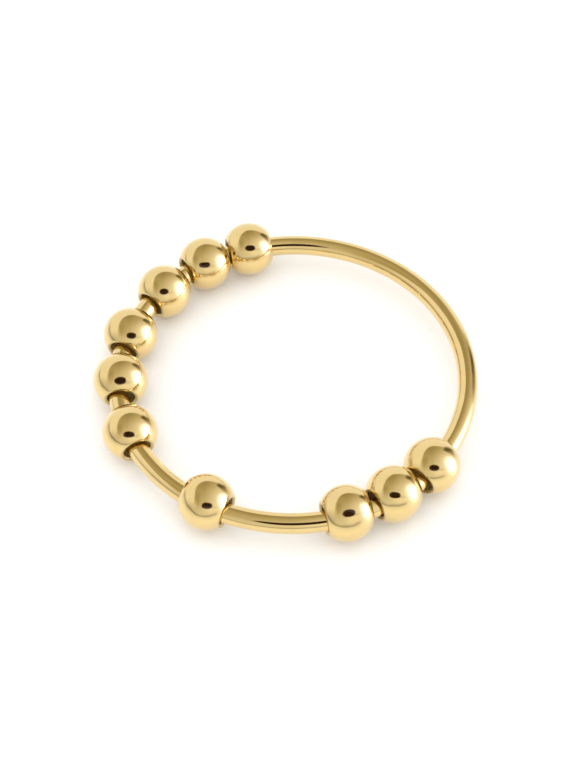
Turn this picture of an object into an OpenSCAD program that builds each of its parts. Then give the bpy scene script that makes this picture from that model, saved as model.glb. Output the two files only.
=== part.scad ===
// Spinner ring: ten loose hollow beads on one closed ring of round wire.
// The ring lies flat. The origin is on its axis, in the plane that the beads rest on,
// and Z points up. Lengths are in millimetres and angles in degrees.

/* [Band] */
// Inside diameter of the band, which is the size of the finger
inside_d = 17.7; // [15:0.1:22]
// Diameter of the band's round wire
wire_d = 1.1; // [0.8:0.05:1.3]

/* [Beads] */
// Outside diameter of a bead
bead_d = 3; // [2.8:0.1:4]
// Wall of a hollow bead, which is rounded over at the rims of the hole
bead_wall = 0.25; // [0.12:0.01:0.3]

/* [Fit] */
// How much wider a bead's hole is than the wire
hole_play = 0.34; // [0.3:0.02:0.8]
// Least gap left between the wire and the rim of a hole
slide_gap = 0.04; // [0.02:0.01:0.1]
// Gap left between two beads that meet
bead_gap = 0.04; // [0.02:0.01:0.1]
// How low the wire hangs in the holes of level beads, as a share of the room below it
drop_share = 0.4; // [0:0.05:0.8]

/* [Row] */
// Where the first bead lies, anticlockwise from +X
first_bead_deg = 104.6; // [0:0.1:359.9]

/* [Hidden] */
// One row for each bead, anticlockwise, with these columns:
// share of the free arc left open after the bead,
// side shift of its hole at the clockwise end and at the other end, as shares of side_play,
// and how far the other end dips while the clockwise end rises, as a share of dip_play.
OPENING = 0;
SHIFT_A = 1;
SHIFT_B = 2;
DIP = 3;
ROW = [
    [0,     0.85,  0.85,  0],
    [0.01,  0.85,  0.85,  0],
    [0.027, 0.55,  -0.25, 0.65],
    [0.016, 0.35,  0.1,   0.85],
    [0.027, 0,     -0.95, 0.95],
    [0.11,  -0.15, 0.3,   0.9],
    [0.15,  -0.7,  -0.95, 0.6],
    [0.001, -0.95, -0.95, 0],
    [0.001, -0.85, -0.85, 0],
    [0,     0.55,  -0.85, -0.35],
];
bead_count = len(ROW);

band_r = inside_d / 2 + wire_d / 2;
bead_r = bead_d / 2;
hole_r = (wire_d + hole_play) / 2;

// Rounding of the wall's edge, and its centre from the bead's axis and along it
rim_r = bead_wall / 2;
lip_x = hole_r + rim_r;
lip_y = sqrt(pow(bead_r - rim_r, 2) - pow(lip_x, 2));

// The wire may lie this far from the middle of a hole's end, in any direction
reach = hole_play / 2 - slide_gap;
drop = drop_share * reach;
side_play = sqrt(pow(reach, 2) - pow(drop, 2));
dip_play = reach - drop;
band_z = bead_r - drop;

// A bead's axis is the chord between the points where the wire crosses its two rims
chord_r = sqrt(pow(band_r, 2) - pow(lip_y, 2));

// Half the angle between two beads that meet at the inner side of their rims
meet_x = chord_r - lip_x;
half_pitch = atan(lip_y / meet_x)
    + asin((rim_r + bead_gap / 2) / sqrt(pow(meet_x, 2) + pow(lip_y, 2)));
free_arc = 360 - bead_count * 2 * half_pitch;

// Place of bead i along the ring, from 0
function bead_deg(i) = i == 0
    ? first_bead_deg
    : bead_deg(i - 1) + 2 * half_pitch + ROW[i - 1][OPENING] * free_arc;

function bead_name(i) = str("bead_", i < 9 ? "0" : "", i + 1);

gold = [0.86, 0.68, 0.36];
$fn = 96;

// Closed ring of round wire
module band() {
    color(gold)
        translate([0, 0, band_z])
            rotate_extrude()
                translate([band_r, 0])
                    circle(d = wire_d);
}

// Section of a bead's wall: outer and inner sphere, ended by a half-round edge at each hole.
// X is the distance from the bead's axis and Y is along the axis.
module bead_section() {
    past = 2 * bead_r / lip_x;
    intersection() {
        difference() {
            circle(r = bead_r);
            circle(r = bead_r - bead_wall);
        }
        polygon([
            [0, 0],
            [past * lip_x, -past * lip_y],
            [past * lip_x, past * lip_y],
        ]);
    }
    for (end = [-1, 1])
        translate([lip_x, end * lip_y])
            circle(r = rim_r);
}

// Bead i on the wire, with the slight shift, turn and tilt that its loose hole allows
module bead(i) {
    shift_a = ROW[i][SHIFT_A] * side_play;
    shift_b = ROW[i][SHIFT_B] * side_play;
    turn = atan((shift_a - shift_b) / (2 * lip_y));
    tilt = asin(ROW[i][DIP] * dip_play / lip_y);
    color(gold)
        rotate([0, 0, bead_deg(i)])
            translate([chord_r + (shift_a + shift_b) / 2, 0, bead_r])
                rotate([90 - tilt, 0, turn])
                    rotate_extrude()
                        bead_section();
}

band();
for (i = [0 : bead_count - 1])
    bead(i);
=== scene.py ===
"""Spinner ring: loose hollow gold beads on a closed ring of round wire, lying on a pale floor."""

import math

import bpy
import numpy as np
from mathutils import Euler, Matrix, Vector


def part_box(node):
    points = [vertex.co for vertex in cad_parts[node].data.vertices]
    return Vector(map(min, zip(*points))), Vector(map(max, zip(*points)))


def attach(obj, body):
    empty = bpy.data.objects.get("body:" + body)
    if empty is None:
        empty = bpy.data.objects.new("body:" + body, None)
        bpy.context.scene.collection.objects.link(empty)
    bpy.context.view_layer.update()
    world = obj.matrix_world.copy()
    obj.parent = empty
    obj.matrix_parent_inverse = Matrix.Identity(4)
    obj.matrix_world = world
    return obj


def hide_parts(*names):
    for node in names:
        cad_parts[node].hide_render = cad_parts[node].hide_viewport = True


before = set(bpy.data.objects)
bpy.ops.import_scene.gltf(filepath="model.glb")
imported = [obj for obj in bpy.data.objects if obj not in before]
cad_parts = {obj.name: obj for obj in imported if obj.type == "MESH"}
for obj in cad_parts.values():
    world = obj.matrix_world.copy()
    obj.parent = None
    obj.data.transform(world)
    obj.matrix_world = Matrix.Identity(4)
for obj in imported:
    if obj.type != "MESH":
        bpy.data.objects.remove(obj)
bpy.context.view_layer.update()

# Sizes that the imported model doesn't state, in metres
MM = 0.001
HOLE_RADIUS = 0.72 * MM
BEAD_WALL = 0.25 * MM
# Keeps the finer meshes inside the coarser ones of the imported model
TRIM = 0.004 * MM

# Fineness of the meshes
RING_SEGMENTS = 720
WIRE_SIDES = 64
BEAD_SIDES = 160
OUTER_RINGS = 48
RIM_RINGS = 16
CAVITY_RINGS = 16
SHARP_ANGLE = math.radians(40)
WELD = 1e-4 * MM
# Attribute that runs from 0 in the middle of a bead's outside to 1 in the middle of its inside
DEPTH = "depth"

# Camera, as the ring was seen
CAMERA_ELEVATION = math.radians(52.96)
CAMERA_ROLL = math.radians(-0.93)
CAMERA_DISTANCE = 91.45 * MM
CAMERA_TARGET = Vector((-0.271, -0.589, 1.5)) * MM
CAMERA_LENS = 79.82
SENSOR = 36.0
CLIP_START = 1.0 * MM
CLIP_END = 10.0
# Directions from the ring to the camera, and up in its view
CAMERA_BACK = Vector((0.0, -math.cos(CAMERA_ELEVATION), math.sin(CAMERA_ELEVATION)))
CAMERA_UP = Vector((0.0, math.sin(CAMERA_ELEVATION), math.cos(CAMERA_ELEVATION)))

# Floor
FLOOR_RADIUS = 3.0
FLOOR_SEGMENTS = 128
FLOOR_COLOR = (0.9, 0.9, 0.9, 1.0)
FLOOR_ROUGHNESS = 0.25

# Colours of the gold: polished, smudged, darker at the rims of the holes (partly rubbed wear,
# partly painted shade), and raw inside a bead
GOLD = (0.785, 0.58, 0.232, 1.0)
GOLD_SMUDGED = (0.745, 0.545, 0.221, 1.0)
# Darker colour at the rims of the holes: partly rubbed wear, partly painted shade
GOLD_RIM_WEAR_AND_SHADE = (0.62, 0.50, 0.25, 1.0)
RAW_BRASS = (0.86, 0.74, 0.44, 1.0)
# Depths between which a bead turns from polished to its darker rim of wear and painted shade, and
# from that rim to raw
RIM_WEAR_AND_SHADE_DEPTHS = (0.58, 0.66)
RAW_DEPTHS = (0.72, 0.80)
# How much of the clear lacquer is left on the polished gold
LACQUER = 0.9
LACQUER_ROUGHNESS = 0.12
# Roughness of the polished gold, and what each kind of wear adds to it
POLISHED = 0.035
SMUDGES_ADD = 0.035
GRAIN_ADDS = 0.02
HAIRLINES_ADD = 0.05
RUBBING_ADDS = 0.22
RAW_ADDS = 0.30
# How much less metallic the dull raw inside is
RAW_METAL_LOSS = 0.75
# Distances between the hills of each pattern
SMUDGE_SIZE = 0.9 * MM
GRAIN_SIZE = 0.05 * MM
DENT_SIZE = 2.2 * MM
RIPPLE_SIZE = 0.7 * MM
RIDGE_SIZE = 0.10 * MM
# Noise between these levels makes a smudge or a scratch come in
SMUDGE_LEVELS = (0.35, 0.75)
SCRATCH_LEVELS = (0.62, 0.72)
# Heights of the shallow dents, of the ridges along the wire and of the hairline scratches
BEAD_DENTS = 0.2 * MM
WIRE_DENTS = 0.04 * MM
WIRE_RIDGES = 0.0015 * MM
HAIRLINE_DEPTH = 0.0002 * MM
# Height of the ripples, as a share of the dents
RIPPLE_SHARE = 0.06
# How fast the ridges change along the wire, as shares of the way in X and in Y
RIDGE_DRIFT = (0.03, 0.02)
LONG_SCRATCHES = {"turn": (0.3, 0.2, 0.9), "length": 1.2 * MM, "width": 0.015 * MM}
SHORT_SCRATCHES = {"turn": (1.1, 0.5, 2.3), "length": 0.8 * MM, "width": 0.012 * MM}

# The light tent that the gold mirrors, over directions of length 1: X to the right, Y to the
# back and Z up. A pair of places is where something starts and where it is complete. A fade is
# full up to its first number and gone from its second.

# White walls, which lose light near the floor on the left, and more at the front left corner
WALL_LIGHT = 1.11
LEFT_LOSS = 0.16
LEFT_LOW = (0.25, 0.0)
LEFT_SIDE = (-0.3, -0.9)
CORNER_LOSS = 0.32
CORNER_LOW = (0.60, 0.30)
CORNER_SIDE = (-0.2, -0.6)
CORNER_FRONT = (0.05, -0.30)
# Opening overhead and in front: its half widths and half depth, and the blur of its edge, which
# is greater in front
OPENING_CENTRE = (0.15, -0.35)
OPENING_LEFT = 0.86
OPENING_RIGHT = 1.30
OPENING_DEPTH = 1.12
OPENING_ROUNDING = 2.15
BLUR_PLACES = (0.2, -0.5)
BLUR_WIDTHS = (0.025, 0.20)
# Light in the opening: overhead, gained to the front and right, and lost on the left
OPENING_LIGHT = 0.62
FRONT_GAIN = 0.31
RIGHT_GAIN = 0.40
DIM_LOSS = 0.18
DIM_SIDE = (-0.2, -0.5)
DIM_MIDDLE = -0.25
DIM_FADE = (0.15, 0.5)
# Glow in the front of the opening
GLOW_LIGHT = 0.16
GLOW_CENTRE = (0.20, -0.72)
GLOW_SIZE = (0.60, 0.40)
GLOW_FADE = (0.2, 1.0)
GLOW_HEIGHT = (0.15, 0.45)
# The darker the opening, the warmer it is
WARM_LIGHTS = (0.92, 0.46)
WARM_TINT = (1.0, 0.90, 0.56, 1.0)
# Dark seam along the opening's edge at the back on the right
SEAM_DARKNESS = 0.78
SEAM_REACH = 0.95
SEAM_WIDTH = (0.035, 0.115)
SEAM_START = (0.53, 0.65)
SEAM_END = (0.74, 0.92)
SEAM_END_SHARE = 0.3
SEAM_TINT = (1.0, 0.85, 0.45, 1.0)
SEAM_TINT_SHARE = 0.8
# Softbox low on the right, brightest in the middle, with a faint halo
SOFTBOX_CENTRE = (-0.05, 0.10)
SOFTBOX_SIZE = (0.43, 0.60)
SOFTBOX_LIGHT = 6.0
SOFTBOX_FADE = (0.3, 1.2)
HALO_LIGHT = 0.32
HALO_FADE = (0.9, 1.9)
SOFTBOX_TINT = (0.96, 0.97, 1.25, 1.0)
SOFTBOX_TINT_FULL = 0.6
# Dark line where the walls meet the floor, in front, which narrows and climbs to the left
LINE_DARKNESS = 0.45
LINE_CLIMB = (-0.5, -0.9)
LINE_HEIGHTS = (0.02, 0.11)
LINE_TAPER = (-0.7, 0.0)
LINE_WIDTHS = (0.14, 0.25)
LINE_FADE = (0.1, 1.0)
LINE_TOWARDS = (-0.6, -0.8)
LINE_START = (0.05, 0.30)
# Dark bar with rounded ends on the camera's side, and a faint streak low on its right
BAR_DARKNESS = 0.97
BAR_CENTRE = (0.065, -0.045)
BAR_SIZE = (0.375, 0.23)
BAR_ROUNDING = 2.3
BAR_FADE = (0.86, 1.03)
BAR_TINT = (1.0, 0.45, 0.12, 1.0)
STREAK_DARKNESS = 0.22
STREAK_CENTRE = (0.40, -0.16)
STREAK_SIZE = (0.40, 0.14)
STREAK_FADE = (0.4, 1.0)
# Soft even light on the floor and on whatever isn't polished
SOFT_LIGHT = 1.46
WHITE = (1.0, 1.0, 1.0, 1.0)


class Value:
    """A socket that takes part in arithmetic. Each operation adds a Math node to its graph."""

    def __init__(self, graph, socket):
        self.graph = graph
        self.socket = socket

    def math(self, operation, *others, swap=False):
        operands = [self, *others]
        if swap:
            operands.reverse()
        return self.graph.add(
            "ShaderNodeMath", {"operation": operation}, dict(enumerate(operands))
        )

    def __add__(self, other):
        return self.math("ADD", other)

    def __radd__(self, other):
        return self.math("ADD", other)

    def __sub__(self, other):
        return self.math("SUBTRACT", other)

    def __rsub__(self, other):
        return self.math("SUBTRACT", other, swap=True)

    def __mul__(self, other):
        return self.math("MULTIPLY", other)

    def __rmul__(self, other):
        return self.math("MULTIPLY", other)

    def __truediv__(self, other):
        return self.math("DIVIDE", other)

    def __rtruediv__(self, other):
        return self.math("DIVIDE", other, swap=True)

    def __pow__(self, other):
        return self.math("POWER", other)

    def __rpow__(self, other):
        return self.math("POWER", other, swap=True)

    def __gt__(self, other):
        return self.math("GREATER_THAN", other)

    def __lt__(self, other):
        return self.math("LESS_THAN", other)


class Graph:
    """Adds nodes to one node tree and links whatever is passed to their sockets."""

    def __init__(self, tree):
        self.tree = tree
        tree.nodes.clear()

    def add(self, kind, settings=None, inputs=None, output=None):
        """Adds a node and gives its named output, or else the first one in use.

        Settings are set first. An input is named or numbered, and takes a value or a link.
        """
        node = self.tree.nodes.new(kind)
        for name, value in (settings or {}).items():
            setattr(node, name, value)
        for name, value in (inputs or {}).items():
            socket = self.input_of(node, name)
            if isinstance(value, Value):
                self.tree.links.new(value.socket, socket)
            else:
                socket.default_value = value
        for socket in node.outputs:
            if socket.enabled and output in (None, socket.name):
                return Value(self, socket)

    @staticmethod
    def input_of(node, name):
        if isinstance(name, int):
            return node.inputs[name]
        return next(s for s in node.inputs if s.name == name and s.enabled)

    def ramp(self, value, low, high, start=0.0, end=1.0, smooth=False):
        """Maps low..high of a value to start..end, and keeps it there outside."""
        settings = {"clamp": True}
        if smooth:
            settings["interpolation_type"] = "SMOOTHSTEP"
        return self.add(
            "ShaderNodeMapRange",
            settings,
            {"Value": value, "From Min": low, "From Max": high, "To Min": start, "To Max": end},
        )

    def fade(self, value, inner, outer, smooth=False):
        """1 up to the inner value, falling to 0 at the outer one."""
        return self.ramp(value, inner, outer, 1.0, 0.0, smooth)

    def vector(self, x, y, z):
        return self.add("ShaderNodeCombineXYZ", None, {"X": x, "Y": y, "Z": z})

    def parts(self, vector):
        """The X, Y and Z of a vector."""
        split = self.add("ShaderNodeSeparateXYZ", None, {"Vector": vector})
        return [Value(self, socket) for socket in split.socket.node.outputs]

    def mix_color(self, factor, a, b):
        return self.add(
            "ShaderNodeMix", {"data_type": "RGBA"}, {"Factor": factor, "A": a, "B": b}
        )


def new_tree(name, inputs):
    """A geometry tree with these inputs, as (name, socket type), and one geometry output."""
    tree = bpy.data.node_groups.new(name, "GeometryNodeTree")
    identifiers = {}
    for label, kind in inputs:
        socket = tree.interface.new_socket(name=label, in_out="INPUT", socket_type=kind)
        identifiers[label] = socket.identifier
    tree.interface.new_socket(name="Geometry", in_out="OUTPUT", socket_type="NodeSocketGeometry")
    graph = Graph(tree)
    group = tree.nodes.new("NodeGroupInput")
    given = {label: Value(graph, group.outputs[label]) for label, kind in inputs}
    return graph, given, identifiers


def end_tree(graph, geometry, material):
    """Shades smooth but for sharp corners, then realizes and sets the material."""
    angle = graph.add("GeometryNodeInputMeshEdgeAngle", output="Unsigned Angle")
    geometry = graph.add(
        "GeometryNodeSetShadeSmooth",
        {"domain": "EDGE"},
        {"Geometry": geometry, "Shade Smooth": angle < SHARP_ANGLE},
    )
    geometry = graph.add("GeometryNodeSetShadeSmooth", {"domain": "FACE"}, {"Geometry": geometry})
    geometry = graph.add("GeometryNodeRealizeInstances", None, {"Geometry": geometry})
    geometry = graph.add(
        "GeometryNodeSetMaterial", None, {"Geometry": geometry, "Material": material}
    )
    graph.add("NodeGroupOutput", None, {"Geometry": geometry})


def wire_tree():
    """A round wire swept along a closed circle that lies flat at a height."""
    graph, given, identifiers = new_tree(
        "Wire ring",
        [
            ("Ring radius", "NodeSocketFloat"),
            ("Wire radius", "NodeSocketFloat"),
            ("Height", "NodeSocketFloat"),
            ("Ring segments", "NodeSocketInt"),
            ("Wire sides", "NodeSocketInt"),
            ("Material", "NodeSocketMaterial"),
        ],
    )
    path = graph.add(
        "GeometryNodeCurvePrimitiveCircle",
        None,
        {"Resolution": given["Ring segments"], "Radius": given["Ring radius"]},
    )
    section = graph.add(
        "GeometryNodeCurvePrimitiveCircle",
        None,
        {"Resolution": given["Wire sides"], "Radius": given["Wire radius"]},
    )
    wire = graph.add("GeometryNodeCurveToMesh", None, {"Curve": path, "Profile Curve": section})
    wire = graph.add(
        "GeometryNodeTransform",
        None,
        {"Geometry": wire, "Translation": graph.vector(0.0, 0.0, given["Height"])},
    )
    end_tree(graph, wire, given["Material"])
    return graph.tree, identifiers


def bead_tree():
    """A hollow bead, its wall rounded over at the rims of its hole, set on a point.

    A grid is bent into the bead. One side of the grid runs along the wall's section, from the
    inner equator over one rim, the outer equator and the other rim and back. The other side runs
    round the bead's axis. Depth is 0 at the outer equator and 1 at the inner one.
    """
    graph, given, identifiers = new_tree(
        "Bead",
        [
            ("Bead radius", "NodeSocketFloat"),
            ("Hole radius", "NodeSocketFloat"),
            ("Wall", "NodeSocketFloat"),
            ("Centre", "NodeSocketVector"),
            ("Axis", "NodeSocketVector"),
            ("Outer rings", "NodeSocketInt"),
            ("Rim rings", "NodeSocketInt"),
            ("Cavity rings", "NodeSocketInt"),
            ("Sides", "NodeSocketInt"),
            ("Material", "NodeSocketMaterial"),
        ],
    )
    rings = given["Outer rings"] + given["Rim rings"] + given["Cavity rings"]
    rim_start = given["Outer rings"] / rings
    rim_end = (given["Outer rings"] + given["Rim rings"]) / rings

    grid = graph.add(
        "GeometryNodeMeshGrid",
        None,
        {
            "Size X": 1.0,
            "Size Y": 1.0,
            "Vertices X": rings * 2.0 + 1.0,
            "Vertices Y": given["Sides"] + 1.0,
        },
    )
    x, y, _ = graph.parts(graph.add("GeometryNodeInputPosition"))
    depth = (x * 2.0).math("ABSOLUTE")
    end = x.math("SIGN")
    round_angle = y * math.tau

    # The edge of the wall is a half circle about the middle of the wall
    quarter = math.pi / 2
    edge_radius = given["Wall"] * 0.5
    middle_radius = given["Bead radius"] - edge_radius
    rim_angle = ((given["Hole radius"] + edge_radius) / middle_radius).math("ARCSINE")
    down = graph.ramp(depth, 0.0, rim_start, quarter, rim_angle)
    over = graph.ramp(depth, rim_start, rim_end, 0.0, math.pi)
    back = graph.ramp(depth, rim_end, 1.0, 0.0, quarter - rim_angle)

    def section(trig):
        along = (down + back).math(trig)
        across = (down + back - over).math(trig)
        return middle_radius * along + edge_radius * across

    radial = section("SINE")
    axial = section("COSINE") * end
    place = graph.vector(
        radial * round_angle.math("COSINE"), axial, radial * round_angle.math("SINE")
    )
    bead = graph.add(
        "GeometryNodeStoreNamedAttribute",
        {"data_type": "FLOAT", "domain": "POINT"},
        {"Geometry": grid, "Name": DEPTH, "Value": depth},
    )
    bead = graph.add("GeometryNodeSetPosition", None, {"Geometry": bead, "Position": place})
    bead = graph.add("GeometryNodeMergeByDistance", None, {"Geometry": bead, "Distance": WELD})
    spot = graph.add("GeometryNodePoints", None, {"Count": 1, "Position": given["Centre"]})
    aim = graph.add("FunctionNodeAlignRotationToVector", {"axis": "Y"}, {"Vector": given["Axis"]})
    bead = graph.add(
        "GeometryNodeInstanceOnPoints",
        None,
        {"Points": spot, "Instance": bead, "Rotation": aim},
    )
    end_tree(graph, bead, given["Material"])
    return graph.tree, identifiers


def grown(name, tree, identifiers, values):
    """A plain mesh object made by a geometry tree with these values for its inputs."""
    seed = bpy.data.objects.new(name + "_seed", bpy.data.meshes.new(name + "_seed"))
    bpy.context.scene.collection.objects.link(seed)
    modifier = seed.modifiers.new("Shape", "NODES")
    modifier.node_group = tree
    for label, value in values.items():
        modifier[identifiers[label]] = value
    evaluated = seed.evaluated_get(bpy.context.evaluated_depsgraph_get())
    mesh = bpy.data.meshes.new_from_object(evaluated)
    mesh.name = name
    bpy.data.objects.remove(seed)
    piece = bpy.data.objects.new(name, mesh)
    bpy.context.scene.collection.objects.link(piece)
    return piece


def bead_axis(node):
    """The axis of a bead's hole: the direction that its surface spreads along least."""
    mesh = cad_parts[node].data
    mesh.calc_loop_triangles()
    points = np.array([v.co for v in mesh.vertices])
    corners = points[np.array([t.vertices for t in mesh.loop_triangles])]
    areas = np.array([t.area for t in mesh.loop_triangles])
    middles = corners.mean(axis=1)
    offsets = middles - np.average(middles, axis=0, weights=areas)
    spread = np.einsum("n,ni,nj->ij", areas, offsets, offsets)
    directions = np.linalg.eigh(spread)[1]
    return Vector(directions[:, 0])


def noise(graph, place, size, detail):
    """Noise from 0 to 1 with hills about this far apart."""
    return graph.add(
        "ShaderNodeTexNoise",
        {"noise_dimensions": "3D"},
        {"Vector": place, "Scale": 1.0 / size, "Detail": detail},
    )


def scratches(graph, place, turn, length, width):
    """Fine straight scratches, all lying one way and broken up along their length."""
    turned = graph.add(
        "ShaderNodeMapping",
        {"vector_type": "TEXTURE"},
        {
            "Vector": place,
            "Rotation": Euler(turn),
            "Scale": Vector((length, width, width)),
        },
    )
    return graph.ramp(noise(graph, turned, 1.0, detail=1.0), *SCRATCH_LEVELS)


def drawn_ridges(graph, place):
    """Faint ridges along the wire, as the die left them when the wire was drawn."""
    x, y, z = graph.parts(place)
    out = (x ** 2.0 + y ** 2.0) ** 0.5
    drift = RIDGE_DRIFT[0] * x + RIDGE_DRIFT[1] * y
    return noise(graph, graph.vector(out, z, drift), RIDGE_SIZE, detail=1.0)


def gold_material(name, dents, ridges=0.0, hollow=False):
    """Mirror-polished gold plating under clear lacquer, with smudges and hairline scratches.

    Dents and ridges are the heights of the shallow dents and of the ridges along the wire. A
    hollow piece is darker and duller at its rims, partly rubbed wear and partly painted shade,
    and raw inside, by its depth attribute.
    """
    material = bpy.data.materials.new(name)
    material.use_nodes = True
    graph = Graph(material.node_tree)
    place = graph.add("ShaderNodeTexCoord", output="Object")
    smudge = graph.ramp(noise(graph, place, SMUDGE_SIZE, detail=3.0), *SMUDGE_LEVELS)
    grain = noise(graph, place, GRAIN_SIZE, detail=2.0)
    long_scratches = scratches(graph, place, **LONG_SCRATCHES)
    short_scratches = scratches(graph, place, **SHORT_SCRATCHES)
    hairlines = long_scratches.math("MAXIMUM", short_scratches)

    color = graph.mix_color(smudge, GOLD, GOLD_SMUDGED)
    roughness = POLISHED + SMUDGES_ADD * smudge + GRAIN_ADDS * grain + HAIRLINES_ADD * hairlines
    metallic = 1.0
    coat = LACQUER
    if hollow:
        depth = graph.add("ShaderNodeAttribute", {"attribute_name": DEPTH}, output="Fac")
        # The rims of the holes are darker: partly rubbed wear, partly painted shade
        rim_wear_and_shade = graph.ramp(depth, *RIM_WEAR_AND_SHADE_DEPTHS, smooth=True)
        raw = graph.ramp(depth, *RAW_DEPTHS, smooth=True)
        color = graph.mix_color(rim_wear_and_shade, color, GOLD_RIM_WEAR_AND_SHADE)
        color = graph.mix_color(raw, color, RAW_BRASS)
        roughness = roughness + RUBBING_ADDS * rim_wear_and_shade + RAW_ADDS * raw
        metallic = 1.0 - RAW_METAL_LOSS * raw
        coat = LACQUER * (1.0 - rim_wear_and_shade)

    waves = noise(graph, place, DENT_SIZE, detail=0.0)
    ripples = noise(graph, place, RIPPLE_SIZE, detail=1.0)
    height = dents * waves + RIPPLE_SHARE * dents * ripples - HAIRLINE_DEPTH * hairlines
    if ridges:
        height = height + ridges * drawn_ridges(graph, place)
    bump = graph.add(
        "ShaderNodeBump", None, {"Strength": 1.0, "Distance": 1.0, "Height": height}
    )
    shader = graph.add(
        "ShaderNodeBsdfPrincipled",
        None,
        {
            "Base Color": color,
            "Metallic": metallic,
            "Roughness": roughness,
            "Coat Weight": coat,
            "Coat Roughness": LACQUER_ROUGHNESS,
            "Normal": bump,
        },
    )
    graph.add("ShaderNodeOutputMaterial", None, {"Surface": shader})
    return material


def floor_material():
    """Plain pale card with a faint sheen."""
    material = bpy.data.materials.new("floor")
    material.use_nodes = True
    graph = Graph(material.node_tree)
    shader = graph.add(
        "ShaderNodeBsdfPrincipled",
        None,
        {"Base Color": FLOOR_COLOR, "Roughness": FLOOR_ROUGHNESS},
    )
    graph.add("ShaderNodeOutputMaterial", None, {"Surface": shader})
    return material


def make_floor():
    bpy.ops.mesh.primitive_circle_add(
        vertices=FLOOR_SEGMENTS, radius=FLOOR_RADIUS, fill_type="NGON"
    )
    floor = bpy.context.object
    floor.name = "floor"
    floor.data.materials.append(floor_material())


def make_camera():
    level = Vector((1.0, 0.0, 0.0))
    right = math.cos(CAMERA_ROLL) * level + math.sin(CAMERA_ROLL) * CAMERA_UP
    up = -math.sin(CAMERA_ROLL) * level + math.cos(CAMERA_ROLL) * CAMERA_UP
    place = CAMERA_TARGET + CAMERA_DISTANCE * CAMERA_BACK
    data = bpy.data.cameras.new("camera")
    data.lens = CAMERA_LENS
    data.sensor_width = SENSOR
    data.clip_start = CLIP_START
    data.clip_end = CLIP_END
    camera = bpy.data.objects.new("camera", data)
    turn = Matrix((right, up, CAMERA_BACK)).transposed()
    camera.matrix_world = Matrix.Translation(place) @ turn.to_4x4()
    bpy.context.scene.collection.objects.link(camera)
    bpy.context.scene.camera = camera


def rounded(across, up, centre, size, rounding=2.0):
    """How far out a direction lies in a rounded shape: 0 at its centre and 1 on its outline.

    Size is its half width and half height. A rounding of 2 makes an ellipse, and more a box.
    """
    across = ((across - centre[0]) / size[0]).math("ABSOLUTE") ** rounding
    up = ((up - centre[1]) / size[1]).math("ABSOLUTE") ** rounding
    return (across + up) ** (1 / rounding)


def wall_light(graph, x, y, z):
    """Light of the tent's white walls."""
    left = graph.ramp(z, *LEFT_LOW) * graph.ramp(x, *LEFT_SIDE)
    corner = graph.ramp(x, *CORNER_SIDE) * graph.ramp(y, *CORNER_FRONT)
    corner = corner * graph.ramp(z, *CORNER_LOW)
    return WALL_LIGHT - LEFT_LOSS * left - CORNER_LOSS * corner


def opening_reach(x, y):
    """How far out a direction lies in the tent's opening, with 1 on its outline."""
    half_width = OPENING_LEFT + (OPENING_RIGHT - OPENING_LEFT) * (x > OPENING_CENTRE[0])
    return rounded(x, y, OPENING_CENTRE, (half_width, OPENING_DEPTH), OPENING_ROUNDING)


def opening_light(graph, x, y, z):
    """Light in the tent's opening."""
    light = OPENING_LIGHT - FRONT_GAIN * y + RIGHT_GAIN * x.math("MAXIMUM", 0.0)
    dim = graph.ramp(x, *DIM_SIDE)
    dim = dim * graph.fade((y - DIM_MIDDLE).math("ABSOLUTE"), *DIM_FADE)
    glow = graph.fade(rounded(x, y, GLOW_CENTRE, GLOW_SIZE), *GLOW_FADE, smooth=True)
    glow = glow * graph.ramp(z, *GLOW_HEIGHT)
    return light - DIM_LOSS * dim + GLOW_LIGHT * glow


def edge_seam(graph, x, y, z, reach):
    """1 in the dark seam along the opening's edge, and 0 elsewhere."""
    seam = graph.fade((reach - SEAM_REACH).math("ABSOLUTE"), *SEAM_WIDTH, smooth=True)
    seam = seam * graph.ramp(x, *SEAM_START, smooth=True)
    seam = seam * graph.ramp(x, *SEAM_END, 1.0, SEAM_END_SHARE)
    return seam * (y > 0.0) * (z > 0.0)


def softbox_light(graph, x, y, z):
    """Light of the softbox and its halo."""
    out = rounded(y, z, SOFTBOX_CENTRE, SOFTBOX_SIZE)
    middle = graph.fade(out, *SOFTBOX_FADE) ** 2.0
    halo = graph.fade(out, *HALO_FADE) ** 2.0
    return (SOFTBOX_LIGHT * middle + HALO_LIGHT * halo) * (x > 0.0)


def floor_line(graph, x, y, z):
    """1 in the dark line where the walls meet the floor, and 0 elsewhere."""
    height = graph.ramp(x, *LINE_CLIMB, *LINE_HEIGHTS)
    width = graph.ramp(x, *LINE_TAPER, *LINE_WIDTHS)
    line = graph.fade((z - height).math("ABSOLUTE") / width, *LINE_FADE, smooth=True)
    return line * graph.ramp(LINE_TOWARDS[0] * x + LINE_TOWARDS[1] * y, *LINE_START)


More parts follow.
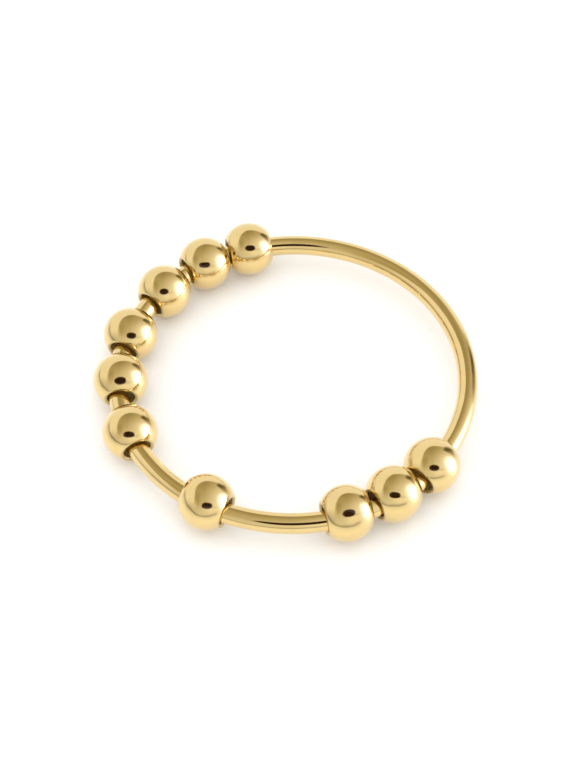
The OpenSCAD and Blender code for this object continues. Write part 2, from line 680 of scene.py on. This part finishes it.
def make_studio():
    """Soft even light for the floor, and a light tent that only polished surfaces mirror."""
    world = bpy.data.worlds.new("studio")
    world.use_nodes = True
    bpy.context.scene.world = world
    graph = Graph(world.node_tree)
    x, y, z = graph.parts(graph.add("ShaderNodeTexCoord", output="Generated"))

    reach = opening_reach(x, y)
    blur = graph.ramp(y, *BLUR_PLACES, *BLUR_WIDTHS)
    opening = graph.fade((reach - 1.0) / blur, -1.0, 1.0, smooth=True)
    shade = opening_light(graph, x, y, z)
    seam = edge_seam(graph, x, y, z, reach)
    softbox = softbox_light(graph, x, y, z)
    line = floor_line(graph, x, y, z)

    up = CAMERA_UP.y * y + CAMERA_UP.z * z
    camera_side = CAMERA_BACK.y * y + CAMERA_BACK.z * z > 0.0
    bar = rounded(x, up, BAR_CENTRE, BAR_SIZE, BAR_ROUNDING)
    bar = graph.fade(bar, *BAR_FADE, smooth=True) * camera_side
    streak = rounded(x, up, STREAK_CENTRE, STREAK_SIZE)
    streak = graph.fade(streak, *STREAK_FADE, smooth=True) * camera_side

    light = wall_light(graph, x, y, z) * (1.0 - opening) + shade * opening
    light = (light + softbox) * (1.0 - SEAM_DARKNESS * seam) * (1.0 - LINE_DARKNESS * line)
    light = light * (1.0 - STREAK_DARKNESS * streak) * (1.0 - BAR_DARKNESS * bar)
    tint = graph.mix_color(graph.ramp(shade, *WARM_LIGHTS) * opening, WHITE, WARM_TINT)
    tint = graph.mix_color(graph.ramp(softbox, 0.0, SOFTBOX_TINT_FULL), tint, SOFTBOX_TINT)
    tint = graph.mix_color(SEAM_TINT_SHARE * seam, tint, SEAM_TINT)
    tint = graph.mix_color(bar, tint, BAR_TINT)

    tent = graph.add("ShaderNodeBackground", None, {"Color": tint, "Strength": light})
    soft = graph.add("ShaderNodeBackground", None, {"Color": WHITE, "Strength": SOFT_LIGHT})
    mirrored = graph.add("ShaderNodeLightPath", output="Is Glossy Ray")
    scattered = graph.add("ShaderNodeLightPath", output="Diffuse Depth")
    seen = mirrored * (scattered < 0.5)
    both = graph.add("ShaderNodeMixShader", None, {0: seen, 1: soft, 2: tent})
    graph.add("ShaderNodeOutputWorld", None, {"Surface": both})


def make_ring():
    """The band and its beads, each a fine smooth mesh in the place of its CAD node."""
    low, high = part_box("band")
    wire_radius = (high.z - low.z) / 2 - TRIM
    tree, identifiers = wire_tree()
    band = grown("band_wire", tree, identifiers, {
        "Ring radius": (high.x - low.x) / 2 - wire_radius - TRIM,
        "Wire radius": wire_radius,
        "Height": (high.z + low.z) / 2,
        "Ring segments": RING_SEGMENTS,
        "Wire sides": WIRE_SIDES,
        "Material": gold_material("band_gold", dents=WIRE_DENTS, ridges=WIRE_RIDGES),
    })
    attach(band, "band")
    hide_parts("band")

    tree, identifiers = bead_tree()
    finish = gold_material("bead_gold", dents=BEAD_DENTS, hollow=True)
    for node in sorted(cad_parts):
        if not node.startswith("bead_"):
            continue
        low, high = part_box(node)
        bead = grown(node + "_shell", tree, identifiers, {
            "Bead radius": (high.z - low.z) / 2 - TRIM,
            "Hole radius": HOLE_RADIUS,
            "Wall": BEAD_WALL,
            "Centre": (low + high) / 2,
            "Axis": bead_axis(node),
            "Outer rings": OUTER_RINGS,
            "Rim rings": RIM_RINGS,
            "Cavity rings": CAVITY_RINGS,
            "Sides": BEAD_SIDES,
            "Material": finish,
        })
        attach(bead, node)
        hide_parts(node)


make_camera()
make_studio()
make_floor()
make_ring()
bpy.context.scene.view_settings.view_transform = "Standard"
